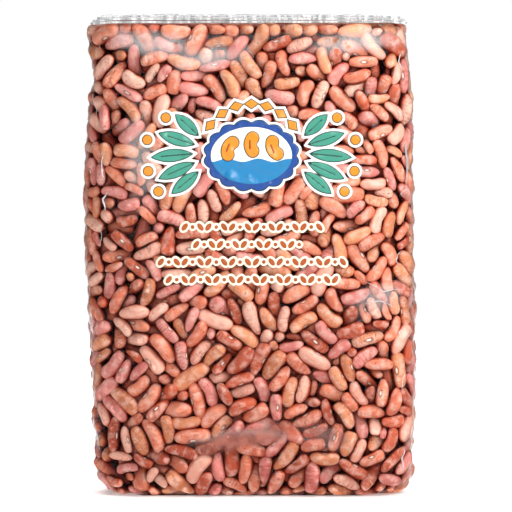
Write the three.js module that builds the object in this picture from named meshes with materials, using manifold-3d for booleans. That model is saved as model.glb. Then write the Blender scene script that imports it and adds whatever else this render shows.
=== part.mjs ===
// A two-kilogram bag of dried kidney beans, packed tight in clear film so that it stands as a brick.
// Millimetres, +Z up. The origin is at the middle of the flat foot and the printed front faces -Y.
// The film is one closed skin: a filled body whose walls show the beans that press on it, the
// sealed mouth folded flat on top in three layers, and the lengthwise seam lying flat on the back.

import * as THREE from "three";
import { mergeVertices } from "three/addons/utils/BufferGeometryUtils.js";
import Module from "manifold-3d";

// Driving sizes
const bodyHeight = 258.6;
const squareness = 4.3; // exponent of the rounded section
const beanRise = 1.8; // how far a bean pushes the film out

// Half widths and half depths of the filled body: [height above the foot, half size]
const leftHalfWidths = [
  [0, 83], [22, 85], [49, 86.4], [71, 87], [109, 89.2], [140, 90.6], [182, 90.6],
  [201, 89.2], [217, 87.3], [230, 85.8], [244, 88], [254, 89.2],
];
const rightHalfWidths = [
  [0, 86.5], [22, 89], [54, 90.4], [109, 90], [140, 89.2], [163, 88.6], [212, 88.6],
  [230, 87.3], [244, 85.8], [254, 84.4],
];
const halfDepths = [[0, 31], [36, 33], [92, 34], [180, 32.6], [232, 29.6], [254, 26.8]];

// Rounding where the walls turn into the foot and into the top
const footRound = { inX: 15, inY: 10, up: 10, steps: 4 };
const topRound = { inX: 4, inY: 3.5, up: 4, steps: 3 };

// The wall is a lattice whose steps suit the beans: a bean covers three steps by two, and both
// counts are whole numbers of blocks of six steps, which hold six beans each
const beanLong = 3;
const beanShort = 2;
const beanBlock = 6;
const columns = 90; // about 5.2 mm apart, so a bean is about 15.6 mm by 10.4 mm from valley to valley
const wallRows = 48;
const capRings = 2;
const valleyShift = 0.9; // random shift of the lattice in the valleys
const reliefSeed = 41;
const beanTilt = 2.4; // how far the two ends of a bean's ridge may lean apart
const lowestBean = 0.75; // share of the full rise that the flattest bean keeps
const roughValley = 0.12; // share of the full rise that a valley point may keep

// Creases pressed into the film: four at the corners of the section, one down each side
const cornerPlace = new THREE.Vector2(0.886, 0.8); // share of the half width and the half depth
const cornerRidge = 2.2;
const sideTuck = { depth: 3, starts: 150, full: 240 };

// Sealed mouth, folded flat on top: three layers, each set in from the one below
const mouthLayers = [
  { halfWidth: 82.6, front: -22.6, back: 22, thick: 2.4 },
  { halfWidth: 80.8, front: -21.6, back: 12, thick: 2.1 },
  { halfWidth: 78.2, front: -20.4, back: 3, thick: 1.9 },
];
const mouthShift = -1.6; // the top of the pack leans a little to the left
const mouthSink = 0.5; // how deep each layer is sunk into what it lies on
const mouthCorner = 5;
const lip = 0.55; // rounding of each folded edge

// Seam down the back and folds under the foot
const seam = { halfWidth: 6, stand: 0.5, bury: 4, from: 9, to: 256, steps: 24 };
const footFold = { depth: 0.6, width: 0.9, flapHalfDepth: 9, flapHalfWidth: 58, gap: 2, reach: 12 };

const filmMaterial = new THREE.MeshStandardMaterial({
  name: "filled clear film",
  color: 0xc9806b,
  roughness: 0.35,
  metalness: 0,
});

// The size at a height, eased between the two nearest entries of a table
function sizeAt(table, height) {
  const last = table.length - 1;
  if (height >= table[last][0]) return table[last][1];
  const next = Math.max(1, table.findIndex(([level]) => level > height));
  const [low, lowSize] = table[next - 1];
  const [high, highSize] = table[next];
  const eased = THREE.MathUtils.smoothstep(height, low, high);
  return THREE.MathUtils.lerp(lowSize, highSize, eased);
}

// Closed rounded section |x/a|^n + |y/b|^n = 1
class BagSection extends THREE.Curve {
  constructor(halfWidth, halfDepth) {
    super();
    this.halfWidth = halfWidth;
    this.halfDepth = halfDepth;
    this.arcLengthDivisions = 4000; // enough for columns spaced to a hundredth of a millimetre
  }

  getPoint(t, target = new THREE.Vector2()) {
    const angle = 2 * Math.PI * t;
    const across = Math.abs(Math.cos(angle) / this.halfWidth) ** squareness;
    const along = Math.abs(Math.sin(angle) / this.halfDepth) ** squareness;
    const reach = (across + along) ** (-1 / squareness);
    return target.set(reach * Math.cos(angle), reach * Math.sin(angle));
  }
}

const middleSection = new BagSection(
  sizeAt(leftHalfWidths, bodyHeight / 2),
  sizeAt(halfDepths, bodyHeight / 2),
);

// The section's columns, evenly spaced, as shares of the half width and half depth.
// The nearest column moves onto each crease, so that the crease is a sharp line.
function sectionColumns() {
  const places = middleSection
    .getSpacedPoints(columns)
    .slice(0, columns)
    .map((p) => ({
      x: p.x / middleSection.halfWidth,
      y: p.y / middleSection.halfDepth,
      crease: null,
    }));
  const snap = (x, y, crease) => {
    const distance = (p) => Math.hypot(p.x - x, p.y - y);
    const nearest = places.reduce((a, b) => (distance(b) < distance(a) ? b : a));
    Object.assign(nearest, { x, y, crease });
  };
  for (const sideX of [-1, 1]) {
    for (const sideY of [-1, 1]) snap(sideX * cornerPlace.x, sideY * cornerPlace.y, "corner");
    snap(sideX, 0, "side");
  }
  return places;
}

// Rows from the middle of the foot up to the middle of the top: the height of each, how far it is
// drawn in from the wall, its share of the way out from the middle, and which row of the beans'
// relief it is
function bodyRows() {
  const rows = [];
  for (let i = 0; i < capRings; i++) {
    rows.push({ z: 0, inX: footRound.inX, inY: footRound.inY, share: i / capRings });
  }
  for (let i = 0; i < footRound.steps; i++) {
    const turn = ((i / footRound.steps) * Math.PI) / 2;
    rows.push({
      z: footRound.up * (1 - Math.cos(turn)),
      inX: footRound.inX * (1 - Math.sin(turn)),
      inY: footRound.inY * (1 - Math.sin(turn)),
      share: 1,
    });
  }
  const wallTop = bodyHeight - topRound.up;
  for (let i = 0; i <= wallRows; i++) {
    const z = THREE.MathUtils.lerp(footRound.up, wallTop, i / wallRows);
    rows.push({ z, inX: 0, inY: 0, share: 1, relief: i });
  }
  for (let i = 1; i <= topRound.steps; i++) {
    const turn = ((i / topRound.steps) * Math.PI) / 2;
    rows.push({
      z: wallTop + topRound.up * Math.sin(turn),
      inX: topRound.inX * (1 - Math.cos(turn)),
      inY: topRound.inY * (1 - Math.cos(turn)),
      share: 1,
    });
  }
  for (let i = capRings - 1; i >= 0; i--) {
    const { inX, inY } = topRound;
    rows.push({ z: bodyHeight, inX, inY, share: i / capRings });
  }
  return rows;
}

// The relief of the beans on the wall's lattice. Each block of six by six steps holds six beans,
// lying in two files of three or standing in two ranks of three. A bean is a dome with a ridge of
// two raised points, which lean apart by a seeded draw, and the lattice lines round it are valleys.
// It returns, for each row and column, the rise and the shift around and up the wall.
function beanRelief() {
  const draw = THREE.MathUtils.seededRandom;
  draw(reliefSeed);
  const spread = (size) => (2 * draw() - 1) * size;
  const relief = Array.from({ length: wallRows + 1 }, () =>
    Array.from({ length: columns }, () => ({
      rise: roughValley * beanRise * draw(),
      around: spread(valleyShift),
      up: spread(valleyShift),
    })));
  for (let blockRow = 0; blockRow < wallRows; blockRow += beanBlock) {
    for (let blockColumn = 0; blockColumn < columns; blockColumn += beanBlock) {
      const lying = draw() < 0.5;
      const wide = lying ? beanLong : beanShort;
      const tall = lying ? beanShort : beanLong;
      for (let row = blockRow; row < blockRow + beanBlock; row += tall) {
        for (let column = blockColumn; column < blockColumn + beanBlock; column += wide) {
          const rise = beanRise * THREE.MathUtils.lerp(lowestBean, 1, draw());
          const tilt = spread(beanTilt);
          const slide = spread(valleyShift);
          for (const end of [0, 1]) {
            const lean = (2 * end - 1) * tilt;
            const place = relief[row + (lying ? 1 : 1 + end)][column + (lying ? 1 + end : 1)];
            place.rise = rise;
            place.around = lying ? slide : lean;
            place.up = lying ? lean : slide;
          }
        }
      }
    }
  }
  return relief;
}

// The lattice's faces, each four-sided cell cut along the lower of its two diagonals, so that the
// foot of every bean is an oval with six corners and not a box
function lowDiagonals(rises, rowCount) {
  const faces = [];
  for (let column = 0; column < columns; column++) {
    for (let row = 0; row < rowCount - 1; row++) {
      const a = column * rowCount + row;
      const b = a + rowCount;
      const c = b + 1;
      const d = a + 1;
      if (rises[a] + rises[c] < rises[b] + rises[d]) faces.push(a, b, c, a, c, d);
      else faces.push(a, b, d, c, d, b);
    }
  }
  return faces;
}

// The filled body. A lathed form gives the closed mesh, and each of its vertices then moves to its
// place: the section scaled to its row, creased, and pushed out by the beans
function filledBody() {
  const rows = bodyRows();
  const places = sectionColumns();
  const relief = beanRelief();
  const flat = { rise: 0, around: 0, up: 0 };
  const profile = rows.map((row, i) => new THREE.Vector2(row.share > 0 ? 1 + row.share : 0, i));
  const body = new THREE.LatheGeometry(profile, columns);
  const position = body.getAttribute("position");
  const rises = new Float32Array(position.count);
  for (let step = 0; step <= columns; step++) {
    const column = step % columns;
    const place = places[column];
    rows.forEach((row, i) => {
      const bean = row.relief > 0 && row.relief < wallRows ? relief[row.relief][column] : flat;
      const z = row.z + bean.up * (place.crease ? 0 : 1);
      const halfWidth = sizeAt(place.x < 0 ? leftHalfWidths : rightHalfWidths, z) - row.inX;
      const halfDepth = sizeAt(halfDepths, z) - row.inY;
      const outward = new THREE.Vector2(
        (Math.sign(place.x) * Math.abs(place.x) ** (squareness - 1)) / halfWidth,
        (Math.sign(place.y) * Math.abs(place.y) ** (squareness - 1)) / halfDepth,
      ).normalize();
      rises[step * rows.length + i] = bean.rise;
      let push = bean.rise - beanRise;
      let slide = bean.around;
      if (place.crease) slide = 0;
      if (place.crease === "corner") push = cornerRidge - beanRise;
      if (place.crease === "side") {
        push -= sideTuck.depth * THREE.MathUtils.smoothstep(z, sideTuck.starts, sideTuck.full);
      }
      position.setXYZ(
        step * rows.length + i,
        row.share * (halfWidth * place.x + outward.x * push - outward.y * slide),
        row.share * (halfDepth * place.y + outward.y * push + outward.x * slide),
        z,
      );
    });
  }
  body.setIndex(lowDiagonals(rises, rows.length));
  return body;
}

// One folded layer of the mouth: a flat strip with rounded corners and rounded edges
function mouthLayer({ halfWidth, front, back, thick }, base) {
  const outline = new THREE.Shape();
  const left = -halfWidth + lip;
  const right = halfWidth - lip;
  const near = front + lip;
  const far = back - lip;
  outline.moveTo(left + mouthCorner, near);
  outline.lineTo(right - mouthCorner, near);
  outline.quadraticCurveTo(right, near, right, near + mouthCorner);
  outline.lineTo(right, far - mouthCorner);
  outline.quadraticCurveTo(right, far, right - mouthCorner, far);
  outline.lineTo(left + mouthCorner, far);
  outline.quadraticCurveTo(left, far, left, far - mouthCorner);
  outline.lineTo(left, near + mouthCorner);
  outline.quadraticCurveTo(left, near, left + mouthCorner, near);
  const layer = new THREE.ExtrudeGeometry(outline, {
    depth: thick - 2 * lip,
    curveSegments: 4,
    bevelThickness: lip,
    bevelSize: lip,
    bevelSegments: 2,
  });
  return layer.translate(mouthShift, 0, base + lip);
}

// The seam down the back: a strip that follows the back wall, drawn from the side and given its
// width by the extrusion
function backSeam() {
  const profile = new THREE.Shape();
  const heights = Array.from({ length: seam.steps + 1 }, (_, i) =>
    THREE.MathUtils.lerp(seam.from, seam.to, i / seam.steps));
  const wall = (z) => sizeAt(halfDepths, z);
  heights.forEach((z, i) => {
    if (i === 0) profile.moveTo(wall(z) - seam.bury, z);
    profile.lineTo(wall(z) + seam.stand, z);
  });
  profile.lineTo(wall(seam.to) - seam.bury, seam.to);
  const strip = new THREE.ExtrudeGeometry(profile, {
    depth: 2 * seam.halfWidth,
    bevelEnabled: false,
  });
  // The shape's x is the depth of the bag and its y is the height: stand it up across the back
  strip.rotateY(Math.PI / 2);
  strip.rotateX(Math.PI / 2);
  return strip;
}

// Grooves under the foot, where the bottom of the film tube is folded over and tucked
function footGroove(fromX, fromY, toX, toY) {
  const length = Math.hypot(toX - fromX, toY - fromY);
  const groove = new THREE.BoxGeometry(length, footFold.width, 2 * footFold.depth);
  groove.rotateZ(Math.atan2(toY - fromY, toX - fromX));
  return groove.translate((fromX + toX) / 2, (fromY + toY) / 2, 0);
}

function footGrooves() {
  const { flapHalfWidth, flapHalfDepth, gap, reach } = footFold;
  const grooves = [];
  for (const side of [-1, 1]) {
    const fold = side * flapHalfDepth;
    grooves.push(footGroove(-flapHalfWidth, fold, flapHalfWidth, fold));
    for (const end of [-1, 1]) {
      const corner = end * (flapHalfWidth + gap);
      const tuck = fold + side * gap;
      grooves.push(footGroove(corner, tuck, corner + end * reach, tuck + side * reach));
    }
  }
  return grooves;
}

const wasm = await Module();
wasm.setup();

// Between three.js geometry and the boolean library's solids
function solidFrom(geometry) {
  const bare = new THREE.BufferGeometry();
  bare.setAttribute("position", geometry.getAttribute("position"));
  if (geometry.index) bare.setIndex(geometry.index);
  const merged = mergeVertices(bare, 1e-3);
  return new wasm.Manifold(
    new wasm.Mesh({
      numProp: 3,
      vertProperties: merged.getAttribute("position").array,
      triVerts: new Uint32Array(merged.index.array),
    }),
  );
}

function geometryFrom(solid) {
  const mesh = solid.getMesh();
  const geometry = new THREE.BufferGeometry();
  geometry.setAttribute("position", new THREE.BufferAttribute(mesh.vertProperties, 3));
  geometry.setIndex(new THREE.BufferAttribute(mesh.triVerts, 1));
  geometry.computeVertexNormals();
  return geometry;
}

function bagSolid() {
  let bag = solidFrom(filledBody());
  let base = bodyHeight - mouthSink;
  for (const layer of mouthLayers) {
    bag = bag.add(solidFrom(mouthLayer(layer, base)));
    base += layer.thick - mouthSink;
  }
  bag = bag.add(solidFrom(backSeam()));
  for (const groove of footGrooves()) bag = bag.subtract(solidFrom(groove));
  return bag;
}

const bag = new THREE.Mesh(geometryFrom(bagSolid()), filmMaterial);
bag.name = "bean_bag";

// Centre the bag over the origin, standing on the ground plane
bag.geometry.computeBoundingBox();
const extent = bag.geometry.boundingBox;
bag.geometry.translate(
  -(extent.min.x + extent.max.x) / 2,
  -(extent.min.y + extent.max.y) / 2,
  -extent.min.z,
);

const beanBag = new THREE.Group();
beanBag.add(bag);

export default beanBag;
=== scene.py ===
# A clear film bag packed tight with dried kidney beans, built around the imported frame.
# Metres, +Z up. The printed front faces -Y and the middle of the foot is at the origin.
import math

import bpy
import numpy as np
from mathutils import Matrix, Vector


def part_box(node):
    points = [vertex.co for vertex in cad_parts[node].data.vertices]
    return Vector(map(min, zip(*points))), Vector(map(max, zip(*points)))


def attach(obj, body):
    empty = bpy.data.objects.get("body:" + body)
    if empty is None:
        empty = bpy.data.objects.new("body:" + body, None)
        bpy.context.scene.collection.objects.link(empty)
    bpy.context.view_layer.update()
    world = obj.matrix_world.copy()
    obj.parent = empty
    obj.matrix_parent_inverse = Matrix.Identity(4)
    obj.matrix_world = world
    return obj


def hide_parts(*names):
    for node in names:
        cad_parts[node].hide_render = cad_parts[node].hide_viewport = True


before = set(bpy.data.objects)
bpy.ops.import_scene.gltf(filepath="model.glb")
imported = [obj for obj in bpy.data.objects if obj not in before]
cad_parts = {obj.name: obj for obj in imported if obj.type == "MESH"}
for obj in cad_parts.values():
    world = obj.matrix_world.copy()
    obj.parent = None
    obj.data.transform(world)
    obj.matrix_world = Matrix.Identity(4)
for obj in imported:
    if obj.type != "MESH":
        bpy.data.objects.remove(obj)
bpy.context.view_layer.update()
mm = 0.001
bagLow, bagHigh = (np.array(corner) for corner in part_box("bean_bag"))

# The filled bag. Each table gives a half size in millimetres at a height above the foot
bag = {
    "bodyHeight": 258.6 * mm,
    "squareness": 4.3,  # exponent of the rounded section
    "leftHalfWidths": [
        (0, 83), (22, 85), (49, 86.4), (71, 87), (109, 89.2), (140, 90.6), (182, 90.6),
        (201, 89.2), (217, 87.3), (230, 85.8), (244, 88), (254, 89.2)],
    "rightHalfWidths": [
        (0, 86.5), (22, 89), (54, 90.4), (109, 90), (140, 89.2), (163, 88.6), (212, 88.6),
        (230, 87.3), (244, 85.8), (254, 84.4)],
    "halfDepths": [(0, 31), (36, 33), (92, 34), (180, 32.6), (232, 29.6), (254, 26.8)],
    "footRound": 13 * mm,
    "topRound": 5 * mm,
    "seed": 40,
}
tiny = 1e-9  # keeps a division away from nothing
draws = np.random.default_rng(bag["seed"])


def smooth(low, high, value):
    # 0 below low, 1 above high, and an S curve between
    t = np.clip((value - low) / (high - low), 0, 1)
    return t * t * (3 - 2 * t)


def sizeAt(table, z):
    # the size at height z, eased between the two nearest entries of a table
    levels, sizes = np.array(table, float).T * mm
    z = np.clip(z, levels[0], levels[-1])
    above = np.clip(np.searchsorted(levels, z, side="right"), 1, len(levels) - 1)
    t = smooth(levels[above - 1], levels[above], z)
    return sizes[above - 1] + (sizes[above] - sizes[above - 1]) * t


def halfSizes(x, z):
    # half width on the side that x is on, and half depth, at height z
    halfWidth = np.where(x < 0, sizeAt(bag["leftHalfWidths"], z), sizeAt(bag["rightHalfWidths"], z))
    return halfWidth, sizeAt(bag["halfDepths"], z)


def unit(vectors):
    return vectors / np.maximum(np.linalg.norm(vectors, axis=-1, keepdims=True), tiny)


nearMiddle = 1e-6  # the smallest share of the way to the wall that a slope is worked out for


def wallDepth(points):
    # how deep points lie under the bag's rounded form, and the way out from each.
    # side = (1 - f) / |grad f| with f = (|x/a|^n + |y/b|^n)^(1/n), cap = distance to the nearer end,
    # and the two meet in a rounded edge
    x, y, z = np.moveaxis(points, -1, 0)
    n = bag["squareness"]
    halfWidth, halfDepth = halfSizes(x, z)
    u = np.abs(x / halfWidth)
    v = np.abs(y / halfDepth)
    f = np.maximum((u ** n + v ** n) ** (1 / n), nearMiddle)
    slope = np.stack([
        np.sign(x) * u ** (n - 1) / halfWidth,
        np.sign(y) * v ** (n - 1) / halfDepth,
        np.zeros_like(x)], -1) * f[..., None] ** (1 - n)
    side = (1 - f) / np.maximum(np.linalg.norm(slope, axis=-1), tiny)
    atFoot = z < bag["bodyHeight"] / 2
    cap = np.where(atFoot, z, bag["bodyHeight"] - z)
    outCap = np.zeros_like(points)
    outCap[..., 2] = np.where(atFoot, -1.0, 1.0)
    rounding = np.where(atFoot, bag["footRound"], bag["topRound"])
    nearSide = np.maximum(rounding - side, 0)
    nearCap = np.maximum(rounding - cap, 0)
    depth = np.minimum(np.maximum(side, rounding), np.maximum(cap, rounding)) - np.hypot(nearSide, nearCap)
    inside = (nearSide + nearCap) == 0
    sideShare = np.where(inside, side <= cap, nearSide)
    capShare = np.where(inside, side > cap, nearCap)
    return depth, unit(unit(slope) * sideShare[..., None] + outCap * capShare[..., None])


# Places on the film: column runs once round the section by its length, climb runs up the wall from the
# start of the foot's rounding to the end of the top's
wallStart = bag["footRound"] * math.pi / 2
wallStop = wallStart + bag["bodyHeight"] - bag["footRound"] - bag["topRound"]
climbEnd = wallStop + bag["topRound"] * math.pi / 2


def reachOf(angle):
    # how far the section reaches at a polar angle, in shares of the half sizes: (|cos|^n + |sin|^n)^(-1/n)
    n = bag["squareness"]
    return (np.abs(np.cos(angle)) ** n + np.abs(np.sin(angle)) ** n) ** (-1 / n)


def sectionTable(steps=4000):
    # polar angle in shares of the half sizes against the share of the girth, at the middle of the bag
    angle = np.linspace(-math.pi, math.pi, steps + 1)
    reach = reachOf(angle)
    x = reach * np.cos(angle)
    halfWidth, halfDepth = halfSizes(x, bag["bodyHeight"] / 2)
    length = np.hypot(np.diff(x * halfWidth), np.diff(reach * np.sin(angle) * halfDepth))
    around = np.concatenate([[0], np.cumsum(length)])
    return angle, around / around[-1], around[-1]


sectionAngle, sectionAround, girth = sectionTable()


def wallPlace(column, climb):
    # the point of the bag's bare form at a place on the film
    angle = np.interp(column % 1, sectionAround, sectionAngle)
    reach = reachOf(angle)
    footRound, topRound = bag["footRound"], bag["topRound"]
    footTurn = np.clip(climb / footRound, 0, math.pi / 2)
    topTurn = np.clip((climb - wallStop) / topRound, 0, math.pi / 2)
    upright = np.clip(climb - wallStart, 0, wallStop - wallStart)
    z = footRound * (1 - np.cos(footTurn)) + upright + topRound * np.sin(topTurn)
    inset = footRound * (1 - np.sin(footTurn)) + topRound * (1 - np.cos(topTurn))
    halfWidth, halfDepth = halfSizes(np.cos(angle), z)
    x = (halfWidth - inset) * reach * np.cos(angle)
    y = (halfDepth - inset) * reach * np.sin(angle)
    return np.stack([x, y, z], -1)


def filmPlace(points):
    # the column and climb of the place on the film that is nearest to each point
    x, y, z = np.moveaxis(points, -1, 0)
    halfWidth, halfDepth = halfSizes(x, z)
    angle = np.arctan2(y / halfDepth, x / halfWidth)
    column = np.interp(angle, sectionAngle, sectionAround)
    n = bag["squareness"]
    f = (np.abs(x / halfWidth) ** n + np.abs(y / halfDepth) ** n) ** (1 / n)
    side = (1 - f) * np.minimum(halfWidth, halfDepth)
    footRound, topRound = bag["footRound"], bag["topRound"]
    footTurn = np.arctan2(np.maximum(footRound - side, 0), np.maximum(footRound - z, tiny))
    topDown = bag["bodyHeight"] - z
    topTurn = np.arctan2(np.maximum(topRound - topDown, 0), np.maximum(topRound - side, tiny))
    climb = np.where(topDown < topRound, wallStop + topRound * topTurn, wallStart + z - footRound)
    return column, np.where(z < footRound, footRound * footTurn, climb)


# Beans packed by pushing balls apart: four balls on a bent line stand for each bean
beans = {
    "count": 1450,
    "shell": 14.6 * mm,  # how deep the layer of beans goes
    "length": 17.0 * mm,
    "halfWidth": 4.05 * mm,
    "halfThick": 3.45 * mm,
    "ball": 3.9 * mm,
    "endBall": 3.55 * mm,
    "wallBall": 3.45 * mm,  # a bean lies on its flat side against the film
    "bend": 0.75 * mm,
    "sizeSpread": 0.08,
    "fineTo": 2.2 * mm,  # beans that lie no deeper get the fine mesh
    "sizes": (0.8, 1.16),  # the smallest and the largest share of full size
    "alongFilm": 0.85,  # how much of its slant to the film a new bean loses
    "lyingFlat": 0.72,  # share of the beans that lie on their flat side
    "leaning": 4.0,  # the higher, the fewer beans stand on end
    "upright": 1.8,  # how much the beans at the narrow sides stand rather than lie
    "narrowSide": (0.4, 0.8),
    "sown": (3 * mm, 12.6 * mm),  # depths between which the first beans are sown
    "steps": 260,
    "sownSize": (0.55, 0.45),  # the share of full size that the first beans start from, and what they gain
    "growing": 0.6,  # share of the steps in which the beans grow to full size
    "pairsEvery": 6,  # steps from one search for neighbours to the next
    "pairsReach": 2.3,  # reach of that search, in balls
    "pairsSpare": 1.2 * mm,
    "briskness": 1.25,
    "pushed": 0.9,  # share of the steps in which the outer beans are pushed towards the film
    "towardsFilm": 0.05 * mm,
    "levelling": 0.12,  # how fast a bean lies down until it leans no more than its own lean
    "outerDepth": 7.5 * mm,
    "squeezedOut": 1.2 * mm,  # a bean pushed this far through the film is left out
    "spots": 60000,
    "room": 0.9 * mm,  # a hole with less is left
    "apart": 9 * mm,
    "holes": [  # depths between which each further sowing looks for holes, and the share of full size
        (3 * mm, 6 * mm, 0.85), (7 * mm, 11 * mm, 0.85), (3 * mm, 6 * mm, 0.85), (3 * mm, 6 * mm, 0.85),
        (3 * mm, 6 * mm, 0.85), (3 * mm, 7 * mm, 0.7), (3 * mm, 7 * mm, 0.6)],
    "extra": 90,
    "extraSteps": 60,
    "lowest": 0.75 * mm,
}


def closePairs(points, owner, reach):
    # all pairs of balls of different beans that are nearer than reach, found in a grid of cells
    cell = np.floor((points - points.min(0)) / reach).astype(np.int64) + 1
    size = cell.max(0) + 2
    key = (cell[:, 0] * size[1] + cell[:, 1]) * size[2] + cell[:, 2]
    order = np.argsort(key, kind="stable")
    ordered = key[order]
    neighbours = [
        (dx * size[1] + dy) * size[2] + dz for dx in (-1, 0, 1) for dy in (-1, 0, 1) for dz in (-1, 0, 1)]
    found = []
    for shift in (s for s in neighbours if s >= 0):
        start = np.searchsorted(ordered, key + shift, "left")
        count = np.searchsorted(ordered, key + shift, "right") - start
        first = np.repeat(np.arange(len(key)), count)
        run = np.arange(count.sum()) - np.repeat(np.cumsum(count) - count, count)
        second = order[np.repeat(start, count) + run]
        good = owner[first] != owner[second]
        if shift == 0:
            good &= first < second
        first, second = first[good], second[good]
        near = ((points[first] - points[second]) ** 2).sum(1) < reach * reach
        found.append(np.stack([first[near], second[near]]))
    return np.concatenate(found, 1)


def square(along, side):
    # makes the side direction square to the long axis
    along = unit(along)
    return along, unit(side - (side * along).sum(1, keepdims=True) * along)


def sow(spots):
    # new beans at the spots: most lie flat along the film, and the hollow side faces either way
    _, out = wallDepth(spots)
    count = len(spots)
    size = np.clip(draws.normal(1, beans["sizeSpread"], count), *beans["sizes"])
    along = draws.normal(size=(count, 3))
    along[:, 2] *= 1 + beans["upright"] * smooth(*beans["narrowSide"], np.abs(out[:, 0]))
    along -= beans["alongFilm"] * (along * out).sum(1, keepdims=True) * out
    flat = draws.random(count) < beans["lyingFlat"]
    side = np.where(flat[:, None], np.cross(out, along), draws.normal(size=(count, 3)))
    side *= np.where(draws.random(count) < 0.5, -1, 1)[:, None]
    lean = draws.uniform(0, 1, count) ** beans["leaning"]
    return [spots, *square(along, side), size, lean]


def bent(along, side, scale):
    # the four balls' places from the middle of each bean, on its bent line
    step = np.array([-1, -1 / 3, 1 / 3, 1])
    arm = (beans["length"] / 2 - beans["endBall"]) * step[:, None] * along[:, None]
    arm = arm + beans["bend"] * (step[:, None] ** 2 - 0.5) * side[:, None]
    return arm * scale[:, None, None]


def relax(place, along, side, size, lean, steps, growth):
    # overlapping balls push their beans apart and turn them, the film holds them in, and the middle
    # of the bag holds them out. growth gives the share of full size at each step
    count = len(place)
    ball = np.array([beans["endBall"], beans["ball"], beans["ball"], beans["endBall"]])
    owner = np.repeat(np.arange(count), 4)
    for turn in range(steps):
        grown = growth(turn / steps)
        arm = bent(along, side, size * grown)
        centre = (place[:, None] + arm).reshape(-1, 3)
        radius = (ball[None] * (size * grown)[:, None]).ravel()
        if turn % beans["pairsEvery"] == 0:
            near = beans["pairsReach"] * beans["ball"] * grown + beans["pairsSpare"]
            pairs = closePairs(centre, owner, near)
        a, b = pairs
        gap = centre[a] - centre[b]
        distance = np.sqrt((gap ** 2).sum(1)) + tiny
        push = gap * (0.5 * np.maximum(radius[a] + radius[b] - distance, 0) / distance)[:, None]
        move = np.stack([
            np.bincount(a, push[:, k], len(centre)) - np.bincount(b, push[:, k], len(centre))
            for k in range(3)], 1)
        depth, out = wallDepth(centre)
        against = radius * beans["wallBall"] / beans["ball"]
        inwards = np.maximum(against - depth, 0) - np.maximum(depth + radius - beans["shell"], 0)
        held = (-out * inwards[:, None]).reshape(count, 4, 3)
        touching = np.maximum((inwards != 0).reshape(count, 4).sum(1), 1)[:, None]
        outer = np.repeat((depth < beans["outerDepth"]).reshape(count, 4).any(1), 4)
        move = move + out * (outer * (turn < beans["pushed"] * steps) * beans["towardsFilm"])[:, None]
        move = beans["briskness"] * move.reshape(count, 4, 3)
        place = place + move.mean(1) + held.sum(1) / touching
        spin = np.cross(arm, move + held).sum(1) / (arm ** 2).sum((1, 2))[:, None]
        _, out = wallDepth(place)
        tilt = (along * out).sum(1)
        level = beans["levelling"] * np.sign(tilt) * np.maximum(np.abs(tilt) - lean, 0)
        along, side = square(
            along + np.cross(spin, along) - level[:, None] * out, side + np.cross(spin, side))
    cover = (depth - against).reshape(count, 4).min(1)
    kept = cover > -beans["squeezedOut"]
    return [values[kept] for values in (place, along, side, size, lean, cover)]


def roomiest(place, along, side, size, depths):
    # spots at the given depths that are farthest from every bean, each clear of those before it. A spot's
    # room is its distance to the nearest ball of a bean
    centre = (place[:, None] + bent(along, side, size)).reshape(-1, 3)
    radius = np.repeat(size, 4) * beans["ball"]
    spots = draws.uniform(bagLow, bagHigh, (beans["spots"], 3))
    depth, _ = wallDepth(spots)
    spots = spots[(depth > depths[0]) & (depth < depths[1])]
    count = len(spots)
    owner = np.concatenate([np.zeros(count), np.repeat(np.arange(len(place)) + 1, 4)])
    first, second = closePairs(np.concatenate([spots, centre]), owner, beans["apart"])
    spot, ball = np.minimum(first, second), np.maximum(first, second) - count
    pair = (spot < count) & (ball >= 0)
    spot, ball = spot[pair], ball[pair]
    room = np.full(count, beans["apart"])
    np.minimum.at(room, spot, np.linalg.norm(spots[spot] - centre[ball], axis=1) - radius[ball])
    order = np.argsort(-room)[:(room > beans["room"]).sum()]
    chosen = np.empty((0, 3))
    for spot in spots[order]:
        if len(chosen) == 0 or ((chosen - spot) ** 2).sum(1).min() > beans["apart"] ** 2:
            chosen = np.vstack([chosen, spot])
    return chosen[:beans["extra"]]


def packBeans():
    # places, long axes, side axes and sizes of beans that fill a layer under the film, and how far each
    # is from touching it. After a first packing, more beans are sown in the holes and pushed into place
    spots = draws.uniform(bagLow, bagHigh, (beans["spots"], 3))
    depth, _ = wallDepth(spots)
    fit = np.flatnonzero((depth > beans["sown"][0]) & (depth < beans["sown"][1]))[:beans["count"]]
    first, gain = beans["sownSize"]
    packed = relax(
        *sow(spots[fit]), beans["steps"], lambda t: min(1.0, first + gain * t / beans["growing"]))[:-1]
    for *depths, share in beans["holes"]:
        extra = sow(roomiest(*packed[:4], depths))
        extra[3] = extra[3] * share
        packed = [np.concatenate(both) for both in zip(packed, extra)]
        packed = relax(*packed, beans["extraSteps"], lambda t: 1.0)
        cover = packed.pop()
    return [*packed[:4], cover]


print("packing beans")
place, along, side, size, cover = packBeans()
atFilm = cover < beans["fineTo"]
print("packed", len(place), "beans,", int(atFilm.sum()), "of them at the film")


# How the beans differ from each other, and the points of their meshes
forms = {
    "fuller": 0.11,  # how much more one end swells than the other
    "hollow": (0.04, 0.18),
    "hollowReach": 0.34,  # in half lengths of the bean
    "bend": (0.3, 2.0),
    "stretch": 0.075,
    "blunt": (1.9, 3.4),  # exponent of each end, from pointed to blunt
    "square": (1.9, 2.7),  # exponent of the section
    "lump": 0.05,
    "lumpStep": 1.7,
    "swell": 1.03,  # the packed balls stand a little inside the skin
}
outerMesh = {"around": 16, "rings": 11}
innerMesh = {"around": 10, "rings": 6}


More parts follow.
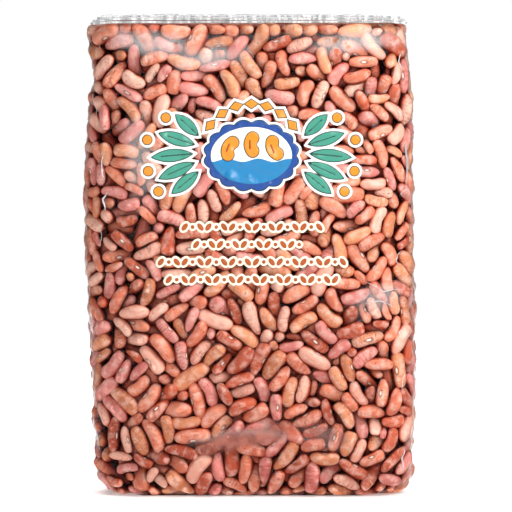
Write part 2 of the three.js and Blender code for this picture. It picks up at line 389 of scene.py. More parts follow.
def beanForms(place, along, side, size, around, rings):
    # kidney forms as one array of beans by points: rings from end to end round a bent line, with radius
    # (1 - |s|^k)^(1/k) and its own k at each end, a flat section |cos|^m + |sin|^m = 1, one end fuller,
    # a dent in the hollow side and slow lumps
    turn = np.linspace(0, 2 * math.pi, around, endpoint=False)
    s = np.sin(np.linspace(-math.pi / 2, math.pi / 2, rings + 2))[1:-1]
    s, turn = (grid.ravel() for grid in np.meshgrid(s, turn, indexing="ij"))
    s = np.concatenate([[-1], s, [1]])
    turn = np.concatenate([[0], turn, [0]])
    each = (len(place), 1)
    fuller = draws.normal(0, forms["fuller"], each)
    hollow = draws.uniform(*forms["hollow"], each)
    bend = beans["bend"] * draws.uniform(*forms["bend"], each)
    stretch = draws.normal(1, forms["stretch"], each)
    width = forms["swell"] * beans["halfWidth"] * draws.normal(1, forms["stretch"], each)
    thick = forms["swell"] * beans["halfThick"] * draws.normal(1, forms["stretch"], each)
    blunt = np.where(s < 0, draws.uniform(*forms["blunt"], each), draws.uniform(*forms["blunt"], each))
    square = draws.uniform(*forms["square"], each)
    radius = (1 - np.abs(s) ** blunt).clip(0) ** (1 / blunt) * (1 + fuller * s)
    inMiddle = np.exp(-(s / forms["hollowReach"]) ** 2)
    radius = radius * (1 - hollow * inMiddle * np.maximum(np.cos(turn), 0) ** 2)
    for order in (1, 2, 3):
        phase, shift = draws.uniform(0, 2 * math.pi, (2, *each))
        lumps = np.sin(order * turn + phase) * np.sin(forms["lumpStep"] * order * s + shift)
        radius = radius * (1 + forms["lump"] * lumps)
    radius = radius * (np.abs(np.cos(turn)) ** square + np.abs(np.sin(turn)) ** square) ** (-1 / square)
    lengthwise = beans["length"] / 2 * stretch * s
    sideways = bend * (s ** 2 - 0.5) + width * radius * np.cos(turn)
    outwards = thick * radius * np.sin(turn)
    local = np.stack([lengthwise, sideways, outwards], -1) * size[:, None, None]
    axes = np.stack([along, side, np.cross(along, side)], 1)
    points = place[:, None] + np.einsum("bpk,bkc->bpc", local, axes)
    points[..., 2] = np.maximum(points[..., 2], beans["lowest"])
    return points


def beanFaces(around, rings):
    # corners of the faces of one bean, in its own points: four-sided ones between its rings and three-sided
    # ones at its ends.
    # skinPlaces gives each corner's place on its skin, where u runs round it with the hollow side at one
    # half, and v runs from end to end
    ring, step = np.indices((rings - 1, around)).reshape(2, -1)
    here, there = 1 + ring * around + step, 1 + ring * around + (step + 1) % around
    quads = np.stack([here, there, there + around, here + around], 1)
    step = np.arange(around)
    last = 1 + (rings - 1) * around
    ends = np.concatenate([
        np.stack([np.zeros_like(step), 1 + (step + 1) % around, 1 + step], 1),
        np.stack([np.full_like(step, last + around), last + step, last + (step + 1) % around], 1)])
    return quads, ends


def newMesh(name, points, faceSizes, corners, attributes=None, uv=None):
    # a mesh object from whole arrays, smooth shaded, with its place in its points
    mesh = bpy.data.meshes.new(name)
    mesh.vertices.add(len(points))
    mesh.vertices.foreach_set("co", np.ascontiguousarray(points, np.float32).ravel())
    mesh.loops.add(len(corners))
    mesh.loops.foreach_set("vertex_index", corners.astype(np.int32))
    starts = np.concatenate([[0], np.cumsum(faceSizes)[:-1]])
    mesh.polygons.add(len(faceSizes))
    mesh.polygons.foreach_set("loop_start", starts.astype(np.int32))
    mesh.polygons.foreach_set("use_smooth", np.ones(len(faceSizes), bool))
    mesh.update(calc_edges=True)
    for key, values in (attributes or {}).items():
        layer = mesh.attributes.new(key, "FLOAT", "POINT")
        layer.data.foreach_set("value", np.ascontiguousarray(values, np.float32))
    if uv is not None:
        mesh.uv_layers.new(name="UVMap").data.foreach_set("uv", np.ascontiguousarray(uv, np.float32).ravel())
    mesh.validate()
    thing = bpy.data.objects.new(name, mesh)
    bpy.context.scene.collection.objects.link(thing)
    return thing


def gridFaces(rows, columns, closed):
    # four-sided faces of a grid of rows by columns, which closes on itself round its columns
    last = columns if closed else columns - 1
    row, column = np.indices((rows - 1, last)).reshape(2, -1)
    here = row * columns + column
    there = row * columns + (column + 1) % columns
    return np.stack([here, there, there + columns, here + columns], 1)


# Shader maths: a Socket takes part in plain arithmetic, and each operation adds a Math node
class Socket:
    def __init__(self, finish, link):
        self.finish = finish
        self.link = link

    def maths(self, operation, first, second):
        return self.finish.add("Math", {"operation": operation}, {0: first, 1: second})

    def __add__(self, other):
        return self.maths("ADD", self, other)

    def __sub__(self, other):
        return self.maths("SUBTRACT", self, other)

    def __rsub__(self, other):
        return self.maths("SUBTRACT", other, self)

    def __mul__(self, other):
        return self.maths("MULTIPLY", self, other)

    def __pow__(self, other):
        return self.maths("POWER", self, other)

    def abs(self):
        return self.maths("ABSOLUTE", self, 0)

    def fraction(self):
        return self.maths("FRACT", self, 0)

    def ramp(self, low, high):
        # 0 at low, 1 at high, eased and held outside
        return self.finish.add(
            "MapRange", {"interpolation_type": "SMOOTHSTEP"},
            {"Value": self, "From Min": low, "From Max": high})


class Finish:
    # one material, with a method that adds any node and gives back one of its outputs
    def __init__(self, name):
        self.material = bpy.data.materials.new(name)
        self.material.use_nodes = True
        self.tree = self.material.node_tree
        self.tree.nodes.clear()

    def add(self, kind, settings=None, inputs=None, output=0):
        node = self.tree.nodes.new("ShaderNode" + kind)
        for key, value in (settings or {}).items():
            setattr(node, key, value)
        for key, value in (inputs or {}).items():
            if isinstance(value, Socket):
                self.tree.links.new(value.link, node.inputs[key])
            else:
                node.inputs[key].default_value = value
        return Socket(self, node.outputs[output])

    def attribute(self, name):
        return self.add("Attribute", {"attribute_name": name}, output="Fac")

    def where(self):
        return self.add("TexCoord", output="Object")

    def stretched(self, vector, scale):
        return self.add("Mapping", None, {"Vector": vector, "Scale": scale})

    def noise(self, vector, scale, detail=2.0, roughness=0.5):
        return self.add(
            "TexNoise", None, {"Vector": vector, "Scale": scale, "Detail": detail, "Roughness": roughness})

    def mix(self, share, first, second, how="MIX"):
        # input 0 is the share, 6 and 7 the colours, and output 2 the mixed colour
        return self.add(
            "Mix", {"data_type": "RGBA", "blend_type": how}, {0: share, 6: first, 7: second}, output=2)

    def bump(self, height, distance, strength=1.0):
        return self.add("Bump", None, {"Height": height, "Distance": distance, "Strength": strength})

    def finished(self, shader):
        output = self.tree.nodes.new("ShaderNodeOutputMaterial")
        self.tree.links.new(shader.link, output.inputs["Surface"])
        return self.material


def colour(red, green, blue):
    # a shader colour from the 0 to 255 numbers of a screen
    parts = [c / 255 for c in (red, green, blue)]
    return tuple(c / 12.92 if c <= 0.04045 else ((c + 0.055) / 1.055) ** 2.4 for c in parts) + (1.0,)


# Seed coats: two colours that each kind runs between, and how often it comes at the foot and the top. The
# pale kinds come more often at the top and the russet at the foot: partly the beans' own mix, partly painted
# light that makes the top paler
coats = {
    "salmon": {"from": colour(214, 114, 84), "to": colour(248, 164, 130), "foot": 0.30, "top": 0.30},
    "tan": {"from": colour(206, 124, 84), "to": colour(248, 178, 134), "foot": 0.19, "top": 0.20},
    "rose": {"from": colour(206, 112, 104), "to": colour(247, 168, 158), "foot": 0.23, "top": 0.22},
    "pale": {"from": colour(236, 166, 144), "to": colour(253, 206, 184), "foot": 0.10, "top": 0.18},
    "russet": {"from": colour(184, 80, 52), "to": colour(224, 118, 82), "foot": 0.18, "top": 0.10},
}
coatDetail = {
    "fleck": colour(130, 44, 30),
    # the next colour is painted shade in the valleys of the cross wrinkles
    "crease": colour(176, 92, 70),
    "ring": colour(120, 48, 36),
    "scar": colour(250, 240, 228),
    # the next colour is the pale of random blotches, and also a painted highlight on the ridges of the cross
    # wrinkles
    "paleAndSheen": colour(255, 222, 206),
}


def seedCoat(kind):
    # satin skin with fine flecks and streaks along the bean, cross wrinkles on some, painted darker in their
    # valleys and paler on their ridges, and the pale scar with a dark ring in the middle of the hollow side
    f = Finish(kind + "Coat")
    coat = coats[kind]
    where = f.where()
    seed = f.attribute("seed")
    skin = f.add("UVMap", {"uv_map": "UVMap"})
    roundwise = f.add("SeparateXYZ", None, {"Vector": skin})
    lengthwise = Socket(f, roundwise.link.node.outputs[1])
    streakPlace = {"X": roundwise * 3 + seed * 31, "Y": lengthwise * 0.7 + seed * 17, "Z": seed * 53}
    streak = f.noise(f.add("CombineXYZ", None, streakPlace), 9.0, 3.0, 0.6)
    blotch = f.noise(where, 240.0, 2.0)
    fleck = f.noise(where, 1400.0, 1.0)
    foldPlace = {"X": roundwise * 3.2, "Y": lengthwise * 13, "Z": seed * 97}
    folded = f.noise(f.add("CombineXYZ", None, foldPlace), 1.7, 2.0)
    wrinkled = (seed - 0.5).abs().ramp(0.2, 0.45)
    base = f.mix(f.attribute("tone"), coat["from"], coat["to"])
    base = f.mix(blotch.ramp(0.4, 0.7) * 0.5, base, coatDetail["paleAndSheen"])
    # painted shade in the valleys of the cross wrinkles, and a painted highlight on their ridges
    base = f.mix((1 - folded.ramp(0.34, 0.48)) * wrinkled * 0.5, base, coatDetail["crease"])
    base = f.mix(folded.ramp(0.55, 0.7) * wrinkled * 0.3, base, coatDetail["paleAndSheen"])
    base = f.mix(streak.ramp(0.56, 0.74) * 0.4, base, coatDetail["fleck"])
    speckled = (seed * 7.3).fraction().ramp(0.3, 0.8)
    base = f.mix(fleck.ramp(0.63, 0.7) * speckled * 0.8, base, coatDetail["fleck"])
    across = (roundwise - 0.5) * 6.4
    endwise = (lengthwise - 0.5) * 7.0
    scar = (across * across * 4.5 + endwise * endwise) ** 0.5
    base = f.mix((1 - scar.ramp(0.5, 0.85)) * 0.6, base, coatDetail["ring"])
    base = f.mix(1 - scar.ramp(0.28, 0.42), base, coatDetail["scar"])
    # painted shade: what lies deeper or turns in between the beans is painted darker, and redder as the
    # beans round it are
    shade = f.attribute("shade")
    paintedShade = f.add("CombineColor", None, {"Red": shade ** 0.9, "Green": shade ** 2.1, "Blue": shade ** 2.5})
    base = f.mix(1.0, base, paintedShade, "MULTIPLY")
    height = folded * wrinkled * 1.2 + blotch * 0.5 + streak * 0.25
    return f.finished(f.add("BsdfPrincipled", None, {
        "Base Color": base,
        "Roughness": blotch * 0.2 + 0.34,
        "Specular IOR Level": 0.2,
        "Normal": f.bump(height, 0.35 * mm, 0.8),
    }))


# Film drawn over the beans as a net of columns and rows that sinks between them but not through them
film = {
    "columns": 372,
    "rows": 214,
    "capRings": 6,  # rings that close it under the foot and under the mouth
    "innermost": 0.12,  # share of the full size that the last ring has
    "overBeans": 0.1 * mm,
    "sag": 0.035 * mm,
    "startsAt": 0.5 * mm,
    "deepest": 2.6 * mm,
    "passes": 90,
    "heldFrom": 0.2,  # share of the foot's rounding below which beans don't hold the film
    "reaches": 5 * mm,  # beans deeper than this don't hold it either
    "spanning": (0.4, 1.8),  # millimetres off the beans, from touching to clear of them
    "underFilm": 0.15 * mm,
    "flattened": 0.8,  # how much of its relief the film loses where it is pressed flat
}


def beanSamples(points, around, rings):
    # the beans' points and the middles of their faces
    quads, _ = beanFaces(around, rings)
    return np.concatenate([points.reshape(-1, 3), points[:, quads].mean(2).reshape(-1, 3)])


outerPoints = beanForms(place[atFilm], along[atFilm], side[atFilm], size[atFilm], **outerMesh)
innerPoints = beanForms(place[~atFilm], along[~atFilm], side[~atFilm], size[~atFilm], **innerMesh)


def drawnFilm():
    # depth of the film under the bag's form on its net: each place takes the mean of its four
    # neighbours plus a little sag, and never goes deeper than the highest bean there. The second result
    # is 1 where the film touches a bean and 0 where it spans a gap
    samples = beanSamples(outerPoints, **outerMesh)
    depth, _ = wallDepth(samples)
    column, climb = filmPlace(samples)
    near = (depth < film["reaches"]) & (climb > film["heldFrom"] * wallStart) & (climb < climbEnd)
    column = np.rint(column[near] * film["columns"]).astype(int) % film["columns"]
    row = np.rint(climb[near] / climbEnd * (film["rows"] - 1)).astype(int)
    highest = np.full((film["rows"], film["columns"]), film["deepest"])
    np.minimum.at(highest, (row, column), depth[near] - film["overBeans"])
    sunk = np.minimum(highest, film["startsAt"])
    for _ in range(film["passes"]):
        upper, lower = np.vstack([sunk[1:], sunk[-1:]]), np.vstack([sunk[:1], sunk[:-1]])
        mean = (np.roll(sunk, 1, 1) + np.roll(sunk, -1, 1) + upper + lower) / 4
        sunk = np.minimum(mean + film["sag"], highest)
    beneath = highest
    for axis in (0, 1):
        beneath = np.minimum(beneath, np.minimum(np.roll(beneath, 1, axis), np.roll(beneath, -1, axis)))
    return sunk, 1 - smooth(*film["spanning"], (beneath - sunk) / mm)


print("drawing the film over the beans")
filmSunk, onCrowns = drawnFilm()
netColumn, netClimb = np.meshgrid(
    np.arange(film["columns"]) / film["columns"], np.linspace(0, climbEnd, film["rows"]))


def onNet(values, column, climb):
    # a value of the film's net at any place, weighed from the four nearest points
    across = (column % 1) * film["columns"]
    up = np.clip(climb / climbEnd, 0, 1) * (film["rows"] - 1)
    left = np.floor(across).astype(int)
    low = np.clip(np.floor(up).astype(int), 0, film["rows"] - 2)
    t, s = across - left, up - low
    left = left % film["columns"]
    right = (left + 1) % film["columns"]
    below = values[low, left] * (1 - t) + values[low, right] * t
    above = values[low + 1, left] * (1 - t) + values[low + 1, right] * t
    return below * (1 - s) + above * s


# Creases of the film: the face, the line through places [across, height] in millimetres, its half width,
# how far it lifts off the beans, and its haze
front, back = -1, 1
creases = {
    "leftCorner": (
        front, [(-79, 12), (-80, 60), (-81.5, 120), (-80, 180), (-79, 225), (-80, 252)], 1.4, 1.1, 0.0),
    "rightCorner": (
        front, [(82, 14), (84, 70), (85, 130), (84.5, 160), (83.5, 190), (82, 215), (80.5, 250)],
        1.6, 0.9, 0.0),
    "underMouth": (front, [(-80, 252.5), (-30, 251), (20, 252), (78, 251.5)], 1.6, 0.5, 0.08),
    "lowCrease": (front, [(-38, 29), (-14, 36), (8, 37), (30, 32), (52, 27)], 1.5, 0.7, 0.1),
    "backLeftCorner": (back, [(80, 12), (82, 90), (83, 170), (81, 250)], 1.4, 1.2, 0.08),
    "backRightCorner": (back, [(-80, 12), (-82, 80), (-83, 160), (-80, 250)], 1.4, 1.2, 0.08),
    "backFold": (back, [(48, 60), (30, 74), (14, 70)], 1.2, 0.6, 0.2),
}
# Patches where it is pressed flat or where a painted sheen lies on the beans' crowns: the face, the middle,
# the half length and half height, the turn in degrees, the haze, which is the painted sheen, and how far it
# blurs the beans
patches = {
    "lowPress": (front, (-4, 33), (29, 6), 9, 0.0, 0.8),
    "lowPressRight": (front, (42, 35), (20, 4.5), -10, 0.05, 0.35),
    "topSheenLeft": (front, (-52, 247), (26, 7), -8, 0.3, 0.0),
    "topSheenMiddle": (front, (-22, 240), (20, 6), 6, 0.3, 0.0),
    "topSheenRight": (front, (56, 248), (30, 6), 5, 0.32, 0.0),
    "leftSheen": (front, (-60, 186), (10, 24), 14, 0.2, 0.0),
    "rightSheen": (front, (70, 110), (14, 9), 12, 0.22, 0.0),
    "backPress": (back, (44, 40), (24, 5), -8, 0.05, 0.6),
    "backSheen": (back, (-46, 246), (24, 5), 5, 0.35, 0.0),
}
# The height of each relief, and the lengths in millimetres between which its waves are drawn
waves = {
    "line": (1.1, [(14, 30), (30, 60), (8, 14)]),
    "breaks": (0.45, [(9, 20), (20, 40), (5, 9)]),
    "edge": (0.35, [(8, 16), (14, 26), (24, 40)]),
    "fine": (0.12 * mm, [(3, 6), (4, 9), (6, 12), (3, 5)]),
}


def relief(u, v, shape, seed):
    # even waves about as high as the first number of the shape, up and down: the mean of sines of seeded
    # directions and phases, one for each pair of lengths
    height, lengths = shape
    own = np.random.default_rng(seed)
    total = 0
    for low, high in lengths:
        turn, phase = own.uniform(0, 2 * math.pi, 2)
        step = own.uniform(low, high)
        total = total + np.sin(2 * math.pi * (u * math.cos(turn) + v * math.sin(turn)) / step + phase)
    return height * (total / len(lengths))


def turned(x, z, middle, turn):
    # places seen from a middle, along and across a direction
    along, across = math.cos(math.radians(turn)), math.sin(math.radians(turn))
    x, z = x - middle[0], z - middle[1]
    return x * along + z * across, z * along - x * across


def offLine(u, v, line):
    # distance in millimetres to a line of points, and the share of the way along it
    points = np.array(line, float)
    best = np.full(u.shape, np.inf)
    share = np.zeros(u.shape)
    for number, (start, stop) in enumerate(zip(points[:-1], points[1:])):
        way = stop - start
        t = np.clip(((u - start[0]) * way[0] + (v - start[1]) * way[1]) / (way @ way), 0, 1)
        distance = np.hypot(u - start[0] - t * way[0], v - start[1] - t * way[1])
        nearer = distance < best
        best = np.where(nearer, distance, best)
        share = np.where(nearer, (number + t) / (len(points) - 1), share)
    return best, share


def filmNet():
    # the film's points, its haze, with a painted sheen on the beans' crowns in its patches, and its blur:
    # the drawn film, raised along its creases by exp(-(distance / half width)^2) and flattened in its
    # patches
    bare = wallPlace(netColumn, netClimb)
    _, out = wallDepth(bare)
    across, v = bare[..., 0] / mm, bare[..., 2] / mm
    far = 1000  # puts the other face out of a line's reach
    sunk = filmSunk.copy()
    haze = np.zeros(across.shape)
    blur = np.zeros(across.shape)
    for number, (face, line, width, lift, hazy) in enumerate(creases.values()):
        u = np.where(face * bare[..., 1] > 0, across, far)
        wobble = relief(u, v, waves["line"], 100 + number)
        distance, share = offLine(u + wobble, v, line)
        ends = smooth(0, 0.08, share) * (1 - smooth(0.92, 1, share))
        broken = 0.55 + relief(u * 0.2, v, waves["breaks"], 300 + number)
        near = np.exp(-(distance / width) ** 2) * ends
        sunk = sunk - near * lift * mm * (0.5 + 0.5 * broken)
        haze = np.maximum(haze, np.exp(-(distance / (1.25 * width)) ** 2) * ends * hazy * broken)
    for number, (face, middle, reach, turn, hazy, blurs) in enumerate(patches.values()):
        u = np.where(face * bare[..., 1] > 0, across, far)
        along, up = turned(u, v, middle, turn)
        edge = 1 + relief(u, v, waves["edge"], 500 + number)
        inside = 1 - smooth(0.2, 1.25, np.hypot(along / reach[0], up / reach[1]) * edge)
        # in a patch the haze lies only on the beans' crowns, where the film touches them: a painted sheen
        haze = np.maximum(haze, inside * onCrowns * hazy)
        blur = np.maximum(blur, inside * blurs)
        sunk = sunk * (1 - film["flattened"] * inside * blurs)
    fine = relief(across, v, waves["fine"], 77) * haze
    return bare - out * (sunk - fine)[..., None], haze, blur


filmPoints, filmHaze, filmBlur = filmNet()


def pressed(points):
    # the beans' points that stand out through the film are moved in under it
    depth, out = wallDepth(points)
    column, climb = filmPlace(points)
    through = np.maximum(onNet(filmSunk, column, climb) + film["underFilm"] - depth, 0)
    held = (climb > film["heldFrom"] * wallStart) & (climb < climbEnd)
    return points - out * (through * held)[..., None]


outerPoints = pressed(outerPoints)


# Painted shade on the beans: how dark they are painted between and below each other
shading = {
    "depths": [2.6, 5.0, 8.0, 11.0, 14.0],  # millimetres under the film
    "shares": [1.0, 0.62, 0.32, 0.14, 0.05],
    "alongAxis": 0.75,  # how much the way along a bean counts less than the way across it
    "turnedIn": 0.015,
    "slants": (0.08, 0.68),
    "ownAndPaintedTopLight": (0.54, 0.46),  # how much of a bean's tone is its own, and how much rises with its height as painted light that makes the higher beans paler
}


def shadeOf(points, middles, axes):
    # painted shade: 1 on the crown of a bean at the film, less on the beans below it, and near 0 where the
    # skin turns in between the beans. It falls with the depth and with the slant of the way from the bean's
    # long axis
    depth, out = wallDepth(points)
    away = points - middles[:, None]
    away = away - shading["alongAxis"] * (away * axes[:, None]).sum(2, keepdims=True) * axes[:, None]
    facing = (unit(away) * out).sum(2)
    deep = np.interp(depth, np.array(shading["depths"]) * mm, shading["shares"])
    return deep * (shading["turnedIn"] + (1 - shading["turnedIn"]) * smooth(*shading["slants"], facing))


def skinPlaces(faces, around, rings):
    # where the corners of the faces lie on the skin, with no face running back over the join
    v = np.linspace(0, 1, rings + 2)
    u = np.arange(around) / around + 0.5
    pointU = np.concatenate([[0.5], np.tile(u, rings), [0.5]])
    pointV = np.concatenate([[0], np.repeat(v[1:-1], around), [1]])
    faceU = pointU[faces]
    if faces.shape[1] == 3:
        faceU[:, 0] = faceU[:, 1:].mean(1)
    faceU = np.where(faceU >= 1, faceU - 1, faceU)
    wrapped = (faceU.max(1) - faceU.min(1)) > 0.5
    faceU = np.where(wrapped[:, None] & (faceU < 0.5), faceU + 1, faceU)
    return np.stack([faceU, pointV[faces]], -1).reshape(-1, 2)


def sortedBeans():
    # the beans' points, painted shade and height by kind, with each kind as often as its share at that
    # height, which paints the top paler
    parts = {kind: [] for kind in coats}
    for points, meshing, spots, axes in (
            (outerPoints, outerMesh, place[atFilm], along[atFilm]),
            (innerPoints, innerMesh, place[~atFilm], along[~atFilm])):
        shade = shadeOf(points, spots, axes)
        share = np.clip(spots[:, 2] / bag["bodyHeight"], 0, 1)
        # the pale kinds weigh more at the top and the russet at the foot: partly painted light that makes
        # the top paler
        weights = np.stack([c["foot"] * (1 - share) + c["top"] * share for c in coats.values()], 1)
        edges = np.cumsum(weights / weights.sum(1, keepdims=True), 1)
        pick = (draws.random(len(spots))[:, None] > edges).sum(1).clip(0, len(coats) - 1)
        for number, kind in enumerate(coats):
            chosen = pick == number
            parts[kind].append((points[chosen], shade[chosen], share[chosen], meshing))
    return parts


def buildBeans():
    # one piece for each kind of bean, with its outer beans fine and its inner ones coarse
    made = []
    own, paintedTopLight = shading["ownAndPaintedTopLight"]
    for kind, groups in sortedBeans().items():
        allPoints, faceSizes, corners, uvs = [], [], [], []
        tones, seeds, shades, start = [], [], [], 0
        for points, shade, share, meshing in groups:
            count, each = points.shape[:2]
            offset = start + np.arange(count)[:, None] * each
            for faces in beanFaces(**meshing):
                corners.append((offset + faces.ravel()).ravel())
                faceSizes.append(np.full(count * len(faces), faces.shape[1]))
                uvs.append(np.tile(skinPlaces(faces, **meshing), (count, 1)))
            allPoints.append(points.reshape(-1, 3))
            # the share of the tone that rises with height is painted light: the higher beans are painted
            # paler
            tones.append(np.repeat(own * draws.random(count) + paintedTopLight * share, each))
            seeds.append(np.repeat(draws.random(count), each))
            shades.append(shade.ravel())
            start += count * each
        tones, seeds, shades = (np.concatenate(values) for values in (tones, seeds, shades))
        piece = newMesh(
            kind + "Beans", np.concatenate(allPoints), np.concatenate(faceSizes), np.concatenate(corners),
            {"tone": tones, "seed": seeds, "shade": shades}, np.concatenate(uvs))
        piece.data.materials.append(seedCoat(kind))
        made.append(piece)
    return made


print("building the beans")
beanPieces = buildBeans()


# The middle of the filling, seen only as dark gaps between the beans: a sheet painted near black as the
# shade that the deep beans lie in
core = {
    "inset": 10.5 * mm, "columns": 90, "rows": 60, "lump": 0.9 * mm,
    "colours": (colour(26, 2, 0), colour(62, 14, 8))}


def closedNet(points):
    # closes a net of rows by columns with a fan at its first and its last row
    rows, columns = points.shape[:2]
    flat = np.concatenate([points.reshape(-1, 3), points[:1].mean(1), points[-1:].mean(1)])
    quads = gridFaces(rows, columns, True)
    step = np.arange(columns)
    after = (step + 1) % columns
    low = np.stack([np.full_like(step, rows * columns), after, step], 1)
    lastRow = (rows - 1) * columns
    high = np.stack([np.full_like(step, rows * columns + 1), lastRow + step, lastRow + after], 1)
    sizes = np.concatenate([np.full(len(quads), 4), np.full(2 * columns, 3)])
    return flat, sizes, np.concatenate([quads.ravel(), low.ravel(), high.ravel()])


def buildCore():
    # the bag's own form, set in and roughened by a random step at each point
    column, climb = np.meshgrid(
        np.arange(core["columns"]) / core["columns"], np.linspace(0, climbEnd, core["rows"]))
    bare = wallPlace(column, climb)
    _, out = wallDepth(bare)
    lump = core["lump"] * draws.uniform(-1, 1, column.shape)
    piece = newMesh("innerBeans", *closedNet(bare - out * (core["inset"] + lump)[..., None]))
    f = Finish("innerBeanDark")
    shade = f.noise(f.where(), 180.0)
    # painted shade: near black colours for the beans that lie deep in shadow
    base = f.mix(shade.ramp(0.35, 0.65), *core["colours"])
    piece.data.materials.append(f.finished(f.add("BsdfPrincipled", None, {
        "Base Color": base, "Roughness": 0.8, "Specular IOR Level": 0.05, "Normal": f.bump(shade, 1 * mm)})))
    return piece


corePiece = buildCore()


filmLooks = {
    # the white of the film's haze, which is also a painted sheen where the haze lies on the beans' crowns
    "milk": colour(252, 249, 247),
    "edge": colour(254, 253, 253),
    "blurred": (colour(130, 63, 47), colour(177, 102, 84)),
    "clear": (0.985, 0.985, 0.985, 1),
    "roughness": {"gloss": 0.12, "milk": 0.4, "blurred": 0.35},
    "bend": 1.3,  # how strongly the film bends light, for the gloss at a slant
    "mirror": (3, 0.004),  # gloss at a slant and straight on
    "shine": 0.6,
    "foldedShine": 0.2,
    "foldedEdge": colour(140, 145, 148),
    "seamShine": 0.25,
}


def clearFilm(name, shine=filmLooks["shine"], edge=filmLooks["edge"]):
    # clear film: what lies behind shows through, with a gloss that grows at a slant, milky haze where it is
    # creased or stands off and as a painted sheen where it lies on the beans' crowns, which takes the edge's
    # colour where it is thick, and a blur in the beans' own colour where it is pressed flat
    f = Finish(name)
    roughness = filmLooks["roughness"]
    haze = f.attribute("haze")
    where = f.where()
    wrinkle = f.noise(f.stretched(where, (1.0, 1.0, 0.3)), 420.0, 3.0, 0.6)
    normal = f.bump(wrinkle, 0.25 * mm, 0.3)
    gloss = f.add("BsdfPrincipled", None, {
        "Base Color": (1, 1, 1, 1), "Metallic": 1.0, "Roughness": roughness["gloss"], "Normal": normal})
    milky = f.mix(haze.ramp(0.5, 0.85) * wrinkle.ramp(0.75, 0.35), filmLooks["milk"], edge)
    milk = f.add("BsdfPrincipled", None, {
        "Base Color": milky, "Roughness": roughness["milk"], "Normal": normal})
    behind = f.mix(f.noise(where, 130.0).ramp(0.35, 0.65), *filmLooks["blurred"])
    blurred = f.add("BsdfPrincipled", None, {
        "Base Color": behind, "Roughness": roughness["blurred"], "Normal": normal})
    clear = f.add("BsdfTransparent", None, {"Color": filmLooks["clear"]})
    flattened = f.add("MixShader", None, {0: f.attribute("blur"), 1: clear, 2: blurred})
    # milk over the clear film by the haze, which on the beans' crowns is a painted sheen
    paleAndSheen = f.add("MixShader", None, {0: haze * (wrinkle * 0.8 + 0.6), 1: flattened, 2: milk})
    slant = f.add("Fresnel", None, {"IOR": filmLooks["bend"], "Normal": normal})
    atSlant, straightOn = filmLooks["mirror"]
    mirrored = slant * slant * atSlant * shine + straightOn
    return f.finished(f.add("MixShader", None, {0: mirrored, 1: paleAndSheen, 2: gloss}))


def buildFilm():
    # the drawn film, closed over the foot and the top by rings that run in to the middle
    shares = np.linspace(1, film["innermost"], film["capRings"])[1:, None, None]
    inner = shares * np.array([1, 1, 0]) + np.array([0, 0, 1])
    net = np.concatenate([(filmPoints[:1] * inner)[::-1], filmPoints, filmPoints[-1:] * inner])
    spare = film["capRings"] - 1
    looks = {}
    for name, values in (("haze", filmHaze), ("blur", filmBlur)):
        rows = np.concatenate([np.repeat(values[:1], spare, 0), values, np.repeat(values[-1:], spare, 0)])
        looks[name] = np.concatenate([rows.ravel(), rows[0, :1], rows[-1, :1]])
    net[..., 2] = np.maximum(net[..., 2], foot["lift"])
    piece = newMesh("clearFilm", *closedNet(net), looks)
    piece.data.materials.append(clearFilm("clearFilmFinish"))
    return piece


# Folded film: the mouth on top, the seam down the back and the flaps under the foot are stacks of flat
# closed sheets of film. Lengths here are in millimetres
folding = {
    "nearEdge": [0, 0.12, 0.3, 0.55, 0.9, 1.5],
    "evenFrom": 2.4,
    "thinner": 0.55,  # how much thinner a fold is inside than at its edge
    "thinnerFrom": (1, 6),
}
mouth = {
    "sheets": [
        {"halfWidth": 86.2, "front": -25.0, "back": 22.5, "middle": 259.35, "thick": 1.3, "turn": 0.0},
        {"halfWidth": 85.0, "front": -24.7, "back": 20.0, "middle": 260.95, "thick": 1.25, "turn": 0.012},
        {"halfWidth": 82.6, "front": -24.2, "back": 9.0, "middle": 262.45, "thick": 1.2, "turn": -0.03},
        {"halfWidth": 80.5, "front": -8.0, "back": 3.5, "middle": 263.15, "thick": 0.5, "turn": 0.02}],
    "shift": -1.0,
    "corner": 4.5,
    "tuck": 27,  # how far the fold lines of the tucked ends run in from the corners
    "droop": (0.8, 5),  # how far the ends hang and over what length
    "haze": 0.08,
    "edgeHaze": 0.92,
    "foldHeight": 0.12,
    "foldHaze": 0.25,
    # the height of each relief, and the lengths between which its waves are drawn
    "near": (0.3, [(30, 60), (15, 30), (8, 14)]),
    "far": (0.8, [(90, 150), (50, 80)]),
    "slow": (0.22, [(60, 120), (40, 80), (30, 50)]),
    "fine": (0.1, [(12, 24), (8, 18), (20, 40)]),
    "creases": (1, [(5, 11), (8, 15), (12, 30)]),
    "creaseHaze": 0.22,
}
seam = {
    "halfWidth": 6.4, "from": 8, "to": 257, "sheets": [(0.15, 0.35), (0.6, 0.3)], "column": 0.75,
    "follows": 0.6,  # how far it sinks with the film between the beans
    "haze": 0.05, "edgeHaze": 0.6, "ribs": 1.6, "ribHaze": 0.24,
    "sway": (0.8, [(60, 120), (30, 70)]),
    "lift": (0.25, [(8, 16), (14, 30), (20, 50)]),
    "breaks": (0.35, [(12, 30), (30, 70), (6, 12)]),
}
foot = {
    "lift": 0.5 * mm, "halfLength": 72, "halfWidth": 21, "narrowing": 12, "overlap": 1.5,
    "middles": [0.3, 0.14], "thick": 0.14, "haze": 0.3, "relief": (0.03, [(12, 30), (8, 20)])}


def edged(length, steps):
    # places along a length, closer together near both ends so that a rolled edge is round
    near = np.array(folding["nearEdge"])
    even = np.linspace(folding["evenFrom"], length - folding["evenFrom"], steps)
    return np.concatenate([near, even, length - near[::-1]])


def rolled(fromEdge, thick):
    # half thickness of a folded sheet: a round fold at its edge, thinner inside
    roll = thick / 2
    rounded = np.sqrt(np.clip(1 - (1 - np.minimum(fromEdge / roll, 1)) ** 2, 0, 1))
    return roll * rounded * (1 - folding["thinner"] * smooth(*folding["thinnerFrom"], fromEdge))


